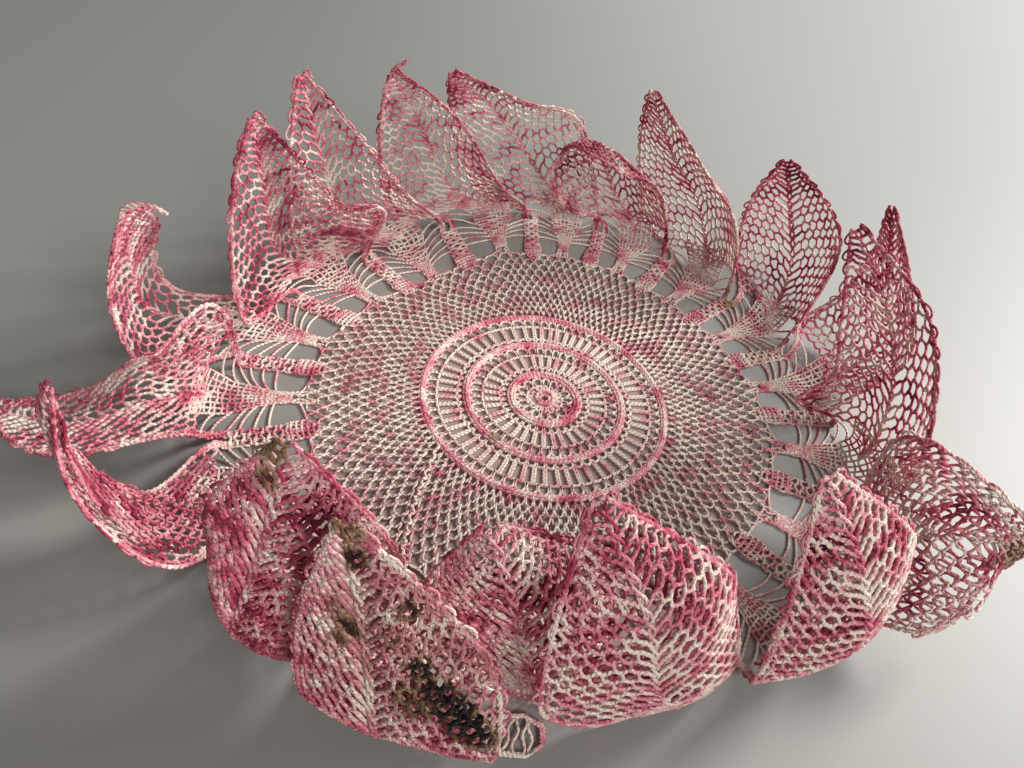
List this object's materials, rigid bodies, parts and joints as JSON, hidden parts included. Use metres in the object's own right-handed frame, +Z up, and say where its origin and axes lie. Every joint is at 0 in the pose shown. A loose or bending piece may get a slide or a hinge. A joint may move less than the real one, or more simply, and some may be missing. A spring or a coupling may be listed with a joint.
{
  "type": "lace doily",
  "caption": "Round crocheted lace doily with a flat openwork middle and pointed leaves standing up round its rim as a ruffle.",
  "frame": {"origin": "centre of the flat middle, on its underside, where it rests on the table", "axes": "+Z up, +X and +Y along the table, +Y towards the far side of the doily as it lies"},
  "size_m": [0.2956, 0.2534, 0.08],
  "materials": {
    "cotton_thread": "matte variegated cotton thread, cream to deep rose"
  },
  "bodies": {
    "root": {"doily": "cotton_thread"}
  },
  "joints": []
}
